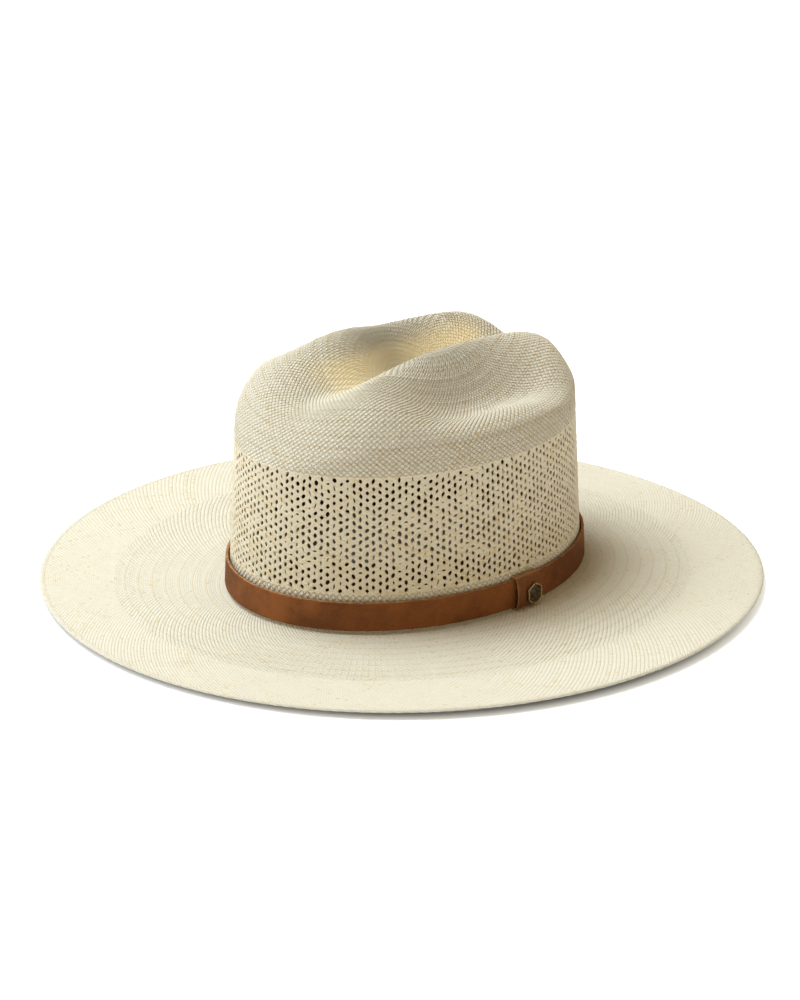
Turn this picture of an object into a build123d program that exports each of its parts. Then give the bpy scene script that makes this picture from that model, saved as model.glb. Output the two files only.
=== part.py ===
"""Panama hat with a vented crown, a leather hatband and a sewn-in leather sweatband.

Units are millimetres. The hat stands on its flat brim: +Z is up, the front of
the hat faces -Y and the wearer's left is +X. The origin is on the surface that
the hat stands on, at the middle of the brim's outline.
"""

import math
import os

from build123d import *

# ---------------------------------------------------------------- driving dimensions
# Head opening, measured inside the sweatband at the brim.
head_width = 159.0
head_length = 202.8

# Woven straw body.
straw_thickness = 2.0
brim_thickness = 1.8
brim_across = 388.0
brim_front_to_back = 390.0
crown_set_back = 5.0
crown_taper = 0.049
crown_height = 134.0
shoulder_drop = 6.5
shoulder_reach = 13.0

# Creases pressed into the crown's tip.
trough_depth = 27.0
dent_depth = 29.0
dent_lip = 4.0
front_fall = 16.0
back_fall = 17.0
end_rounding = 14.0
# Shares of the tip's half width or half length
trough_middle, trough_share, trough_half = 0.15, 0.70, 0.21
dent_middle, dent_share = 0.10, 0.62
dent_start, dent_run = 0.28, 0.46
crest_rise = 4.0
crest_middle, crest_share = -0.40, 0.30
front_curve, back_curve = 2.6, 2.2
lip_start, lip_run = 0.74, 0.22
tip_wall = 2.8

# Sweatband, sewn round the inside of the crown with a reed along its lower edge.
sweatband_thickness = 1.2
sweatband_height = 36.0
tape_thickness = 0.4
tape_flange = 9.0
reed_diameter = 1.8
inner_clearance = 0.1
stitch_length = 2.4
stitch_thread = 0.5
stitch_count = 140
seam_stitch_count = 6
seam_stitch_width = 5.0
stitch_gap = 0.06
stitch_above_edge = 2.5
seam_above_edge = 8.0
seam_pitch = 3.2
leather_above_tape = 0.6
tape_above_floor = 0.4

# Small ribbon bow over the sweatband's joint at the back.
bow_width = 24.0
bow_height = 9.0
bow_thickness = 0.8
bow_knot_width = 5.0
bow_gap = 1.6
bow_below_top = 4.0
bow_waist = 0.24
bow_knot_share = 0.6

# Leather hatband, which can be lifted off over the crown.
strap_width = 17.0
strap_thickness = 1.6
strap_bottom = 3.0
strap_lap = 15.0
strap_slit = 0.1
band_clearance = 1.0

# Leather keeper round the strap's lapped ends.
keeper_length = 17.0
keeper_forward = 4.0
keeper_face = 1.2
keeper_back = 0.5
keeper_fold = 0.6
keeper_clearance = 0.1

# Screw stud through the keeper and the strap, on the wearer's left.
stud_angle = 5.0
stud_drop = 2.8
stud_across_corners = 12.4
stud_height = 2.2
stud_rim = 1.0
stud_bevel = 0.35
stud_recess = 0.7
post_diameter = 4.0
screw_share = 0.75
screw_diameter = 2.4
washer_diameter = 7.0
washer_thickness = 0.5
fit_clearance = 0.05
washer_gap = 0.15

# ---------------------------------------------------------------- derived sizes
# Offsets are measured outwards from the face of the sweatband that meets the head.
leather_outer = sweatband_thickness
straw_inner = leather_outer + tape_thickness + 2 * inner_clearance
straw_outer = straw_inner + straw_thickness
strap_inner = straw_outer + band_clearance
strap_outer = strap_inner + strap_thickness
strap_top = strap_bottom + strap_width
sweatband_bottom = reed_diameter + 2 * tape_thickness + 4 * inner_clearance + leather_above_tape
sweatband_top = sweatband_bottom + sweatband_height
roof_width = head_width / 2 + straw_outer - crown_taper * crown_height
roof_length = head_length / 2 + straw_outer - crown_taper * crown_height
strap_middle = strap_bottom + strap_width / 2
brim_edge_radius = 0.4 * brim_thickness
cut_margin = 2.0
below_brim = 5.0
above_crown = 40.0


def smooth_step(value):
    """Rise smoothly from 0 to 1 as value goes from 0 to 1."""
    t = min(max(value, 0.0), 1.0)
    return t * t * (3.0 - 2.0 * t)


def oval_face(offset, height):
    """Head oval grown by offset, at one height of the tapering crown."""
    grown = offset - crown_taper * height
    with BuildSketch(Plane((0, crown_set_back, height))) as section:
        Ellipse(head_width / 2 + grown, head_length / 2 + grown)
    return section.sketch.face()


def tapered_oval(offset, low, high, mode=Mode.ADD):
    """Loft the head oval, grown by offset, between two heights."""
    loft([oval_face(offset, low), oval_face(offset, high)], mode=mode)


def oval_point(offset, degrees, height):
    """Point on the grown oval where the ellipse's own angle has this value."""
    grown = offset - crown_taper * height
    turn = math.radians(degrees)
    return Vector(
        (head_width / 2 + grown) * math.cos(turn),
        crown_set_back + (head_length / 2 + grown) * math.sin(turn),
        height,
    )


def outward(degrees):
    """Level unit vector that points straight out of the oval at this angle."""
    turn = math.radians(degrees)
    grown = straw_outer
    across = (head_length / 2 + grown) * math.cos(turn)
    along = (head_width / 2 + grown) * math.sin(turn)
    return Vector(across, along, 0).normalized()


def wall_plane(offset, degrees, height):
    """Plane on the leaning wall: its normal points out and its y axis points up."""
    out = outward(degrees)
    along = Vector(-out.Y, out.X, 0)
    leaning = out + Vector(0, 0, crown_taper)
    return Plane(origin=oval_point(offset, degrees, height), x_dir=along, z_dir=leaning)


def even_angles(count):
    """Angles that divide the oval into stretches of equal length."""
    fine = 1440
    points = [oval_point(0, 360 * i / fine, 0) for i in range(fine + 1)]
    walked = [0.0]
    for first, second in zip(points, points[1:]):
        walked.append(walked[-1] + (second - first).length)
    angles = []
    step = 0
    for i in range(count):
        wanted = walked[-1] * (i + 0.5) / count
        while walked[step] < wanted:
            step += 1
        angles.append(360 * step / fine)
    return angles


# ---------------------------------------------------------------- crown's creased roof
def roof_height(x, y):
    """Height of the creased tip: a long trough, two ridges and a dent on each side."""
    across = abs(x) / roof_width
    along = y / roof_length
    peak = 0.10
    ridge_line = crown_height - front_fall * max(peak - along, 0.0) ** front_curve
    ridge_line -= back_fall * max(along - peak, 0.0) ** back_curve
    ridge_line += crest_rise * math.exp(-(((along - crest_middle) / crest_share) ** 2))
    trough_reach = math.exp(-((abs(along - trough_middle) / trough_share) ** 3))
    trough = trough_depth * trough_reach * math.exp(-((across / trough_half) ** 2))
    dent_reach = math.exp(-((abs(along - dent_middle) / dent_share) ** 4))
    dent = dent_depth * dent_reach * smooth_step((across - dent_start) / dent_run)
    lip = dent_lip * dent_reach * smooth_step((across - lip_start) / lip_run)
    radius = math.hypot(across, along)
    rounding = end_rounding * min(radius, 1.1) ** 6 * (1.0 - dent_reach)
    past = max((radius - 1.0) * roof_width / shoulder_reach + 1.0, 0.0)
    shoulder = shoulder_drop * (past**2 if past < 1.0 else 2.0 * past - 1.0)
    return ridge_line - trough - dent + lip - rounding - shoulder


def roof_section(along, lowered):
    """Upright slice across the hat, closed at the top by the creased roof's line."""
    y = along * roof_length
    steps = (0.0, 0.15, 0.30, 0.45, 0.60, 0.75, 0.88, 1.0, 1.15)
    across = [-step for step in reversed(steps[1:])] + list(steps)
    roof_line = [(u * roof_width, roof_height(u * roof_width, y) - lowered) for u in across]
    side = roof_line[-1][0]
    with BuildSketch(Plane((0, crown_set_back + y, 0), x_dir=(1, 0, 0), z_dir=(0, -1, 0))) as slice_:
        with BuildLine():
            Spline(*roof_line)
            Polyline(roof_line[-1], (side, -above_crown), (-side, -above_crown), roof_line[0])
        make_face()
    return slice_.sketch.face()


def roof_block(lowered):
    """Everything under the creased roof, with the roof lowered by this much."""
    stations = (-1.15, -1.0, -0.85, -0.65, -0.45, -0.2, 0.05, 0.3, 0.55, 0.75, 0.9, 1.0, 1.15)
    with BuildPart() as block:
        loft([roof_section(along, lowered) for along in stations])
    return block.part


with BuildPart(mode=Mode.PRIVATE) as cavity:
    tapered_oval(straw_inner, -below_brim, crown_height + above_crown)
    add(roof_block(tip_wall), mode=Mode.INTERSECT)

with BuildPart(mode=Mode.PRIVATE) as crown_block:
    tapered_oval(straw_outer, 0, crown_height + above_crown)
    add(roof_block(0), mode=Mode.INTERSECT)

# ---------------------------------------------------------------- straw body
with BuildPart() as straw_body:
    with BuildSketch():
        Ellipse(brim_across / 2, brim_front_to_back / 2)
    extrude(amount=brim_thickness)
    fillet(straw_body.edges(), brim_edge_radius)
    add(crown_block.part)
    add(cavity.part, mode=Mode.SUBTRACT)

# ---------------------------------------------------------------- sweatband and its reed
with BuildPart() as sweatband:
    tapered_oval(leather_outer, sweatband_bottom, sweatband_top)
    tapered_oval(0, sweatband_bottom, sweatband_top, mode=Mode.SUBTRACT)

# The tape's fold wraps the reed and its flange runs up behind the leather.
fold_radius = reed_diameter / 2 + inner_clearance + tape_thickness
reed_offset = straw_inner - inner_clearance - fold_radius
reed_height = fold_radius + inner_clearance + tape_above_floor
reed_path_plane = Plane((0, crown_set_back, reed_height))
reed_grown = reed_offset - crown_taper * reed_height
reed_oval = (head_width / 2 + reed_grown, head_length / 2 + reed_grown)
reed_start = Plane(
    origin=(head_width / 2 + reed_grown, crown_set_back, reed_height),
    z_dir=(0, 1, 0),
)

with BuildPart() as sweatband_reed:
    with BuildLine(reed_path_plane) as reed_path:
        for start in (0, 180):
            EllipticalCenterArc((0, 0), *reed_oval, start_angle=start, arc_size=180)
    with BuildSketch(reed_start):
        Circle(reed_diameter / 2)
    sweep(path=reed_path.wire())

with BuildPart() as reed_tape:
    with BuildLine(reed_path_plane) as tape_path:
        for start in (0, 180):
            EllipticalCenterArc((0, 0), *reed_oval, start_angle=start, arc_size=180)
    with BuildSketch(reed_start):
        Circle(fold_radius)
        Circle(reed_diameter / 2 + inner_clearance, mode=Mode.SUBTRACT)
    sweep(path=tape_path.wire())
    flange_low = reed_height + 0.5 * fold_radius
    flange_outer = straw_inner - inner_clearance
    with BuildPart(mode=Mode.PRIVATE) as flange:
        tapered_oval(flange_outer, flange_low, flange_low + tape_flange)
        tapered_oval(
            flange_outer - tape_thickness, flange_low, flange_low + tape_flange, mode=Mode.SUBTRACT
        )
    add(flange.part)

# ---------------------------------------------------------------- sweatband's sewing
stitch_height = sweatband_bottom + stitch_above_edge
with BuildPart() as sweatband_stitches:
    for angle in even_angles(stitch_count):
        place = wall_plane(-stitch_thread / 2 - stitch_gap, angle, stitch_height)
        with BuildSketch(Plane(place.origin - place.x_dir * stitch_length / 2, z_dir=place.x_dir)):
            Circle(stitch_thread / 2)
        extrude(amount=stitch_length)

back = 90.0
seam_low = sweatband_bottom + seam_above_edge
with BuildPart() as seam_stitches:
    for i in range(seam_stitch_count):
        level = seam_low + seam_pitch * i
        place = wall_plane(-stitch_thread / 2 - stitch_gap, back, level)
        start = place.origin - place.x_dir * seam_stitch_width / 2
        with BuildSketch(Plane(start, z_dir=place.x_dir)):
            Circle(stitch_thread / 2)
        extrude(amount=seam_stitch_width)

bow_level = sweatband_top - bow_height / 2 - bow_below_top
bow_place = wall_plane(-bow_gap, back, bow_level)
with BuildPart() as seam_bow:
    with BuildSketch(bow_place):
        for side in (1, -1):
            with BuildLine():
                Polyline(
                    (0, bow_waist / 2 * bow_height),
                    (side * bow_width / 2, bow_height / 2),
                    (side * bow_width / 2, -bow_height / 2),
                    (0, -bow_waist / 2 * bow_height),
                    close=True,
                )
            make_face()
    extrude(amount=-bow_thickness)
    with BuildSketch(bow_place):
        Rectangle(bow_knot_width, bow_knot_share * bow_height)
    extrude(amount=-2 * bow_thickness)

# ---------------------------------------------------------------- leather hatband
# The stud sits low on the strap. The lap and the keeper reach further forward than back.
stud_place = wall_plane(strap_outer, stud_angle, strap_middle - stud_drop)
lap_place = wall_plane(strap_outer, stud_angle, strap_middle)
split_offset = (strap_inner + strap_outer) / 2
tall = strap_width + 2 * cut_margin
cut_low = strap_bottom - cut_margin / 2
cut_high = strap_top + cut_margin / 2

with BuildPart(mode=Mode.PRIVATE) as lap_slit:
    # A thin curved sheet between the two skived ends, and a cut at each of its ends.
    tapered_oval(split_offset + strap_slit / 2, cut_low, cut_high)
    tapered_oval(split_offset - strap_slit / 2, cut_low, cut_high, mode=Mode.SUBTRACT)
    with BuildSketch(lap_place):
        with Locations((-keeper_forward, 0)):
            Rectangle(strap_lap, tall)
    extrude(amount=4 * strap_thickness, both=True, mode=Mode.INTERSECT)
    for side in (1, -1):
        with BuildSketch(lap_place.offset(-strap_thickness / 2)):
            with Locations((side * strap_lap / 2 - keeper_forward, 0)):
                Rectangle(4 * strap_slit, tall)
        extrude(amount=-side * 3 * strap_thickness)

with BuildPart() as strap:
    tapered_oval(strap_outer, strap_bottom, strap_top)
    tapered_oval(strap_inner, strap_bottom, strap_top, mode=Mode.SUBTRACT)
    add(lap_slit.part, mode=Mode.SUBTRACT)
    with BuildSketch(stud_place):
        Circle(post_diameter / 2 + fit_clearance)
    extrude(amount=4 * strap_thickness, both=True, mode=Mode.SUBTRACT)

keeper_outer = strap_outer + keeper_clearance + keeper_face
keeper_inner = strap_inner - keeper_clearance - keeper_back
keeper_edge = keeper_clearance + keeper_fold
with BuildPart() as keeper:
    tapered_oval(keeper_outer, strap_bottom - keeper_edge, strap_top + keeper_edge)
    tapered_oval(
        keeper_inner, strap_bottom - keeper_edge, strap_top + keeper_edge, mode=Mode.SUBTRACT
    )
    with BuildPart(mode=Mode.PRIVATE) as keeper_space:
        low, high = strap_bottom - keeper_clearance, strap_top + keeper_clearance
        tapered_oval(strap_outer + keeper_clearance, low, high)
        tapered_oval(strap_inner - keeper_clearance, low, high, mode=Mode.SUBTRACT)
    add(keeper_space.part, mode=Mode.SUBTRACT)
    with BuildSketch(lap_place):
        with Locations((-keeper_forward, 0)):
            Rectangle(keeper_length, tall)
    extrude(amount=6 * strap_thickness, both=True, mode=Mode.INTERSECT)
    with BuildSketch(stud_place):
        Circle(post_diameter / 2 + fit_clearance)
    extrude(amount=4 * strap_thickness, mode=Mode.SUBTRACT)
    with BuildSketch(stud_place):
        Circle(washer_diameter / 2 + 2 * fit_clearance)
    extrude(amount=-4 * strap_thickness, mode=Mode.SUBTRACT)

# ---------------------------------------------------------------- screw stud
# The flat face of the washer lies just behind the strap; the cap seats on the keeper.
cap_seat = stud_place.offset(keeper_clearance + keeper_face + fit_clearance)
strap_back = stud_place.offset(-strap_thickness - washer_gap)
post_length = keeper_clearance + keeper_face + strap_thickness + washer_gap + fit_clearance
screw_length = screw_share * post_length

with BuildPart() as stud_cap:
    with BuildSketch(cap_seat):
        RegularPolygon(stud_across_corners / 2, 6, rotation=30)
    extrude(amount=stud_height)
    crown_edges = stud_cap.faces().sort_by(Axis(cap_seat.origin, cap_seat.z_dir))[-1].edges()
    chamfer(crown_edges, stud_bevel)
    with BuildSketch(cap_seat.offset(stud_height)):
        RegularPolygon(stud_across_corners / 2 - stud_rim, 6, rotation=30)
    extrude(amount=-stud_recess, mode=Mode.SUBTRACT)
    with BuildSketch(cap_seat):
        Circle(screw_diameter / 2)
    extrude(amount=-screw_length)

with BuildPart() as stud_post:
    with BuildSketch(strap_back):
        Circle(washer_diameter / 2)
    extrude(amount=-washer_thickness)
    with BuildSketch(strap_back):
        Circle(post_diameter / 2)
    extrude(amount=post_length - fit_clearance)
    with BuildSketch(strap_back.offset(post_length)):
        Circle(screw_diameter / 2 + fit_clearance)
    extrude(amount=-(screw_length + 2 * fit_clearance), mode=Mode.SUBTRACT)

# ---------------------------------------------------------------- write the pieces
straw_body.part.label = "straw_body"
sweatband.part.label = "sweatband"
sweatband_reed.part.label = "sweatband_reed"
reed_tape.part.label = "reed_tape"
sweatband_stitches.part.label = "sweatband_stitches"
seam_stitches.part.label = "seam_stitches"
seam_bow.part.label = "seam_bow"
strap.part.label = "strap"
keeper.part.label = "keeper"
stud_cap.part.label = "stud_cap"
stud_post.part.label = "stud_post"

os.makedirs("parts", exist_ok=True)
export_step(straw_body.part, "parts/straw_body.step")
export_step(sweatband.part, "parts/sweatband.step")
export_step(sweatband_reed.part, "parts/sweatband_reed.step")
export_step(reed_tape.part, "parts/reed_tape.step")
export_step(sweatband_stitches.part, "parts/sweatband_stitches.step")
export_step(seam_stitches.part, "parts/seam_stitches.step")
export_step(seam_bow.part, "parts/seam_bow.step")
export_step(strap.part, "parts/strap.step")
export_step(keeper.part, "parts/keeper.step")
export_step(stud_cap.part, "parts/stud_cap.step")
export_step(stud_post.part, "parts/stud_post.step")
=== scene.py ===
# %% [markdown]
# # A vented panama hat
# The hat is one woven straw body, a leather hatband with a screw stud, and a
# leather sweatband sewn inside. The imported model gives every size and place.
# This lesson builds the looks around it: straw woven cell by cell, nubuck,
# antique brass and plain studio light.

# %% Load the frame
import math

import bpy
import numpy as np
from mathutils import Matrix, Vector


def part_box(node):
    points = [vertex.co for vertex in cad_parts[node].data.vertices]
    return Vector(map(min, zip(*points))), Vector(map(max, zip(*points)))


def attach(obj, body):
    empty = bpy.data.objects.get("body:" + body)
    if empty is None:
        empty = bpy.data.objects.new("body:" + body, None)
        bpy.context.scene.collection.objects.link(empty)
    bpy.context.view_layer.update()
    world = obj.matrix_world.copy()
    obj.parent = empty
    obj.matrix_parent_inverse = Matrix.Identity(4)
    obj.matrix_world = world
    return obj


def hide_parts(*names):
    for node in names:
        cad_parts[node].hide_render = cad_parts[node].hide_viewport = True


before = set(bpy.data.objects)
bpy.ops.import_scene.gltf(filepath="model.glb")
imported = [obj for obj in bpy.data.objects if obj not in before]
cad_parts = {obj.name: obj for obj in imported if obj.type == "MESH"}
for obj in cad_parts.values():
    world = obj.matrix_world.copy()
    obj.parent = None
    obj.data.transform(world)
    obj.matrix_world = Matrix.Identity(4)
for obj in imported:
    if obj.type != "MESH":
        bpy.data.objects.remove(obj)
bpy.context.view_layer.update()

MM = 0.001
rng = np.random.default_rng(7)

# %% [markdown]
# ## The camera and the light
# The camera stands at the wearer's front left, a little above the brim, with a
# long lens so that the brim stays close to a true oval. It is aimed at a point
# part of the way up the crown. The light is a warm pale room, a soft panel on
# the left that models the creases, and a wider one above that lights the brim.

# %% Camera
VIEW_AZIMUTH = math.radians(46.36)
VIEW_ELEVATION = math.radians(21.93)
VIEW_DISTANCE = 1.794
AIM_HEIGHT = 0.0412
LENS = 148.5
LIGHT_AIM_HEIGHT = 0.05
KEY_POWER = 24.0
TOP_POWER = 88.0
ROOM_STRENGTH = 0.42
PANEL_COLOUR = (0.86, 0.94, 1.0)
ROOM_COLOUR = (1.0, 0.80, 0.52, 1.0)

away = Vector((math.sin(VIEW_AZIMUTH), -math.cos(VIEW_AZIMUTH), 0.0)) * math.cos(VIEW_ELEVATION)
away.z = math.sin(VIEW_ELEVATION)
eye = away * VIEW_DISTANCE
camera_data = bpy.data.cameras.new("camera")
camera_data.lens = LENS
camera_data.sensor_width = 36.0
camera_data.sensor_fit = "HORIZONTAL"
camera = bpy.data.objects.new("camera", camera_data)
bpy.context.collection.objects.link(camera)
camera.location = eye
look = Vector((0.0, 0.0, AIM_HEIGHT)) - eye
camera.rotation_euler = look.to_track_quat("-Z", "Y").to_euler()
bpy.context.scene.camera = camera
print("camera at", [round(v, 3) for v in eye])


# %% Lights
def side_point(right, back, up):
    """A point given as the camera sees it: to the right, away from it, and up."""
    across = Vector((math.cos(VIEW_AZIMUTH), math.sin(VIEW_AZIMUTH), 0.0))
    beyond = Vector((-math.sin(VIEW_AZIMUTH), math.cos(VIEW_AZIMUTH), 0.0))
    return across * right + beyond * back + Vector((0.0, 0.0, up))


def soft_panel(name, place, size, power, colour):
    """A square area light that faces the hat."""
    data = bpy.data.lights.new(name, "AREA")
    data.shape = "SQUARE"
    data.size = size
    data.energy = power
    data.color = colour
    lamp = bpy.data.objects.new(name, data)
    bpy.context.collection.objects.link(lamp)
    lamp.location = place
    lamp.rotation_euler = (Vector((0, 0, LIGHT_AIM_HEIGHT)) - place).to_track_quat("-Z", "Y").to_euler()
    return lamp


soft_panel("key_panel", side_point(-2.4, 0.0, 1.6), 1.3, KEY_POWER, PANEL_COLOUR)
soft_panel("top_panel", side_point(-1.0, 0.4, 2.6), 1.7, TOP_POWER, PANEL_COLOUR)

world = bpy.data.worlds.new("studio")
world.use_nodes = True
world.node_tree.nodes["Background"].inputs["Color"].default_value = ROOM_COLOUR
world.node_tree.nodes["Background"].inputs["Strength"].default_value = ROOM_STRENGTH
bpy.context.scene.world = world
bpy.context.scene.view_settings.view_transform = "Standard"
print("lights placed")


# %% [markdown]
# ## Node helpers
# Every finish below is made of shader nodes. These short helpers keep the
# building of the node trees readable: a maths node, a blend of two colours, a
# ramp between two values, a noise, a bump, and the start of a shared group.

# %% Node helpers
def new_material(name):
    """An empty material with a Principled shader, and its node tree."""
    material = bpy.data.materials.new(name)
    material.use_nodes = True
    return material, material.node_tree, material.node_tree.nodes["Principled BSDF"]


def feed(tree, socket, value):
    """Set a socket to a number or a colour, or link it to another socket."""
    if isinstance(value, bpy.types.NodeSocket):
        tree.links.new(value, socket)
    elif hasattr(value, "__len__") and len(value) == 3 and socket.type == "RGBA":
        socket.default_value = (*value, 1.0)
    else:
        socket.default_value = value


def sum_of(tree, kind, first, second=0.0, clamp=False):
    """One maths node; returns its result."""
    node = tree.nodes.new("ShaderNodeMath")
    node.operation = kind
    node.use_clamp = clamp
    for socket, value in zip(node.inputs, (first, second)):
        feed(tree, socket, value)
    return node.outputs[0]


def blend_colour(tree, factor, first, second):
    """Mix two colours by a factor."""
    node = tree.nodes.new("ShaderNodeMix")
    node.data_type = "RGBA"
    feed(tree, node.inputs[0], factor)
    feed(tree, node.inputs[6], first)
    feed(tree, node.inputs[7], second)
    return node.outputs[2]


def ramp(tree, value, low, high):
    """Ease a value from 0 at low to 1 at high."""
    node = tree.nodes.new("ShaderNodeMapRange")
    node.interpolation_type = "SMOOTHSTEP"
    feed(tree, node.inputs["Value"], value)
    feed(tree, node.inputs["From Min"], low)
    feed(tree, node.inputs["From Max"], high)
    return node.outputs["Result"]


def noise(tree, vector, scale, detail=3.0, rough=0.55):
    """Soft noise from 0 to 1."""
    node = tree.nodes.new("ShaderNodeTexNoise")
    feed(tree, node.inputs["Vector"], vector)
    node.inputs["Scale"].default_value = scale
    node.inputs["Detail"].default_value = detail
    node.inputs["Roughness"].default_value = rough
    return node.outputs["Fac"]


def object_point(tree):
    """The place on the object, in metres."""
    return tree.nodes.new("ShaderNodeTexCoord").outputs["Object"]


def bump(tree, height, distance):
    """Turn a height into a normal; distance is the height's size in metres."""
    node = tree.nodes.new("ShaderNodeBump")
    node.inputs["Strength"].default_value = 1.0
    node.inputs["Distance"].default_value = distance
    feed(tree, node.inputs["Height"], height)
    return node.outputs["Normal"]


def new_group(name, inputs, outputs):
    """A node group with number inputs and outputs."""
    group = bpy.data.node_groups.new(name, "ShaderNodeTree")
    for label, kind, start in inputs:
        socket = group.interface.new_socket(label, in_out="INPUT", socket_type=kind)
        if start is not None:
            socket.default_value = start
    for label, kind in outputs:
        group.interface.new_socket(label, in_out="OUTPUT", socket_type=kind)
    entry = group.nodes.new("NodeGroupInput")
    leave = group.nodes.new("NodeGroupOutput")
    return group, entry, leave


# %% [markdown]
# ## How the straw is woven
# Flat straws cross at right angles, over one and under one, on the slant. In
# the sheet's own map one unit is one crossing across and one along, so the two
# slanting families of straws are u + v and u - v. The group works out which
# straw is on top at each crossing, how it arches and dips, a shade of its own
# for each straw, its fine fibres, and the dark gaps beside it.

# %% Weave group
def make_weave_group():
    """The shared weave: height, tone, gap and fibre from the sheet's map."""
    group, entry, leave = new_group(
        "woven_straw",
        [("Map", "NodeSocketVector", None)],
        [(name, "NodeSocketFloat") for name in ("Height", "Tone", "Gap", "Fibre")],
    )
    split = group.nodes.new("ShaderNodeSeparateXYZ")
    group.links.new(entry.outputs["Map"], split.inputs[0])
    u, v = split.outputs[0], split.outputs[1]
    p = sum_of(group, "ADD", u, v)
    q = sum_of(group, "SUBTRACT", u, v)
    p_cell, q_cell = sum_of(group, "FLOOR", p), sum_of(group, "FLOOR", q)
    p_in = sum_of(group, "SUBTRACT", sum_of(group, "FRACT", p), 0.5)
    q_in = sum_of(group, "SUBTRACT", sum_of(group, "FRACT", q), 0.5)
    pair = sum_of(group, "ADD", p_cell, q_cell)
    over = sum_of(group, "MULTIPLY", sum_of(group, "FRACT", sum_of(group, "MULTIPLY", pair, 0.5)), 2.0)

    def choose(first, second):
        rest = sum_of(group, "SUBTRACT", 1.0, over)
        return sum_of(
            group, "ADD",
            sum_of(group, "MULTIPLY", first, rest),
            sum_of(group, "MULTIPLY", second, over))

    lengthwise, crosswise = choose(p_in, q_in), choose(q_in, p_in)
    straw_row = choose(q_cell, sum_of(group, "ADD", p_cell, 517.0))
    along = choose(p, q)
    white = group.nodes.new("ShaderNodeTexWhiteNoise")
    white.noise_dimensions = "1D"
    group.links.new(straw_row, white.inputs["W"])
    cell_seed = sum_of(
        group, "ADD",
        sum_of(group, "MULTIPLY", p_cell, 1.37),
        sum_of(group, "MULTIPLY", q_cell, 7.13))
    white_cell = group.nodes.new("ShaderNodeTexWhiteNoise")
    white_cell.noise_dimensions = "1D"
    group.links.new(cell_seed, white_cell.inputs["W"])
    tone = sum_of(
        group, "ADD",
        sum_of(group, "MULTIPLY", white.outputs["Value"], 0.6),
        sum_of(group, "MULTIPLY", white_cell.outputs["Value"], 0.4),
    )
    half_width = sum_of(group, "ADD", 0.37, sum_of(group, "MULTIPLY", white_cell.outputs["Value"], 0.10))
    side = sum_of(group, "DIVIDE", sum_of(group, "ABSOLUTE", crosswise), half_width)
    flank = ramp(group, side, 1.25, 0.62)
    end = sum_of(group, "ABSOLUTE", lengthwise)
    arch = ramp(group, end, 0.56, 0.10)
    raised = sum_of(group, "ADD", 0.25, sum_of(group, "MULTIPLY", arch, 0.75))
    height = sum_of(group, "MULTIPLY", flank, raised)
    gap = sum_of(group, "MULTIPLY", ramp(group, side, 0.92, 1.18), ramp(group, end, 0.12, 0.42))
    fibre_map = group.nodes.new("ShaderNodeCombineXYZ")
    group.links.new(sum_of(group, "MULTIPLY", along, 0.35), fibre_map.inputs[0])
    group.links.new(sum_of(group, "MULTIPLY", crosswise, 7.0), fibre_map.inputs[1])
    group.links.new(sum_of(group, "MULTIPLY", straw_row, 3.7), fibre_map.inputs[2])
    fibre = noise(group, fibre_map.outputs[0], 2.0, 2.0)
    for name, value in (("Height", height), ("Tone", tone), ("Gap", gap), ("Fibre", fibre)):
        group.links.new(value, leave.inputs[name])
    return group


weave_group = make_weave_group()
print("weave group has", len(weave_group.nodes), "nodes")


# %% [markdown]
# ## The straw finish
# The same finish is used for the crown, the vented wall and the brim, with a different depth of relief; the
# crown and the vented wall are also browner than the brim, which is partly painted shade, the warm light that
# the crown's shaded walls throw on each other. Bleached straw is cream, each straw a little lighter or
# browner than the next, and the gaps between straws are darkened tan, partly painted shade in the recesses of
# the weave. Down in the tip's fold the straw is tinted a warm yellow and made to emit a little light: painted
# bounce light, standing in for the light that the fold's walls throw on each other.

# %% Straw material
LIGHT_STRAW = (0.78, 0.752, 0.640)
WARM_STRAW = (0.67, 0.545, 0.330)
# The gap colour is partly painted shade for the recesses between straws.
GAP_SHADE_STRAW = (0.36, 0.240, 0.115)
# The colour of the painted bounce light in the tip's fold.
PAINTED_BOUNCE_STRAW = (0.93, 0.770, 0.440)
# Where the painted bounce light in the fold starts and where it is full: aside, down, from the front and
# back.
FOLD_ASIDE = 0.032, 0.010
FOLD_DOWN = 0.131, 0.120
FOLD_FRONT = -0.062, -0.030
FOLD_BACK = 0.080, 0.060
# How strongly the fold's straw emits light: painted bounce light, though the straw is no lamp.
PAINTED_FOLD_GLOW = 0.20


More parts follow.
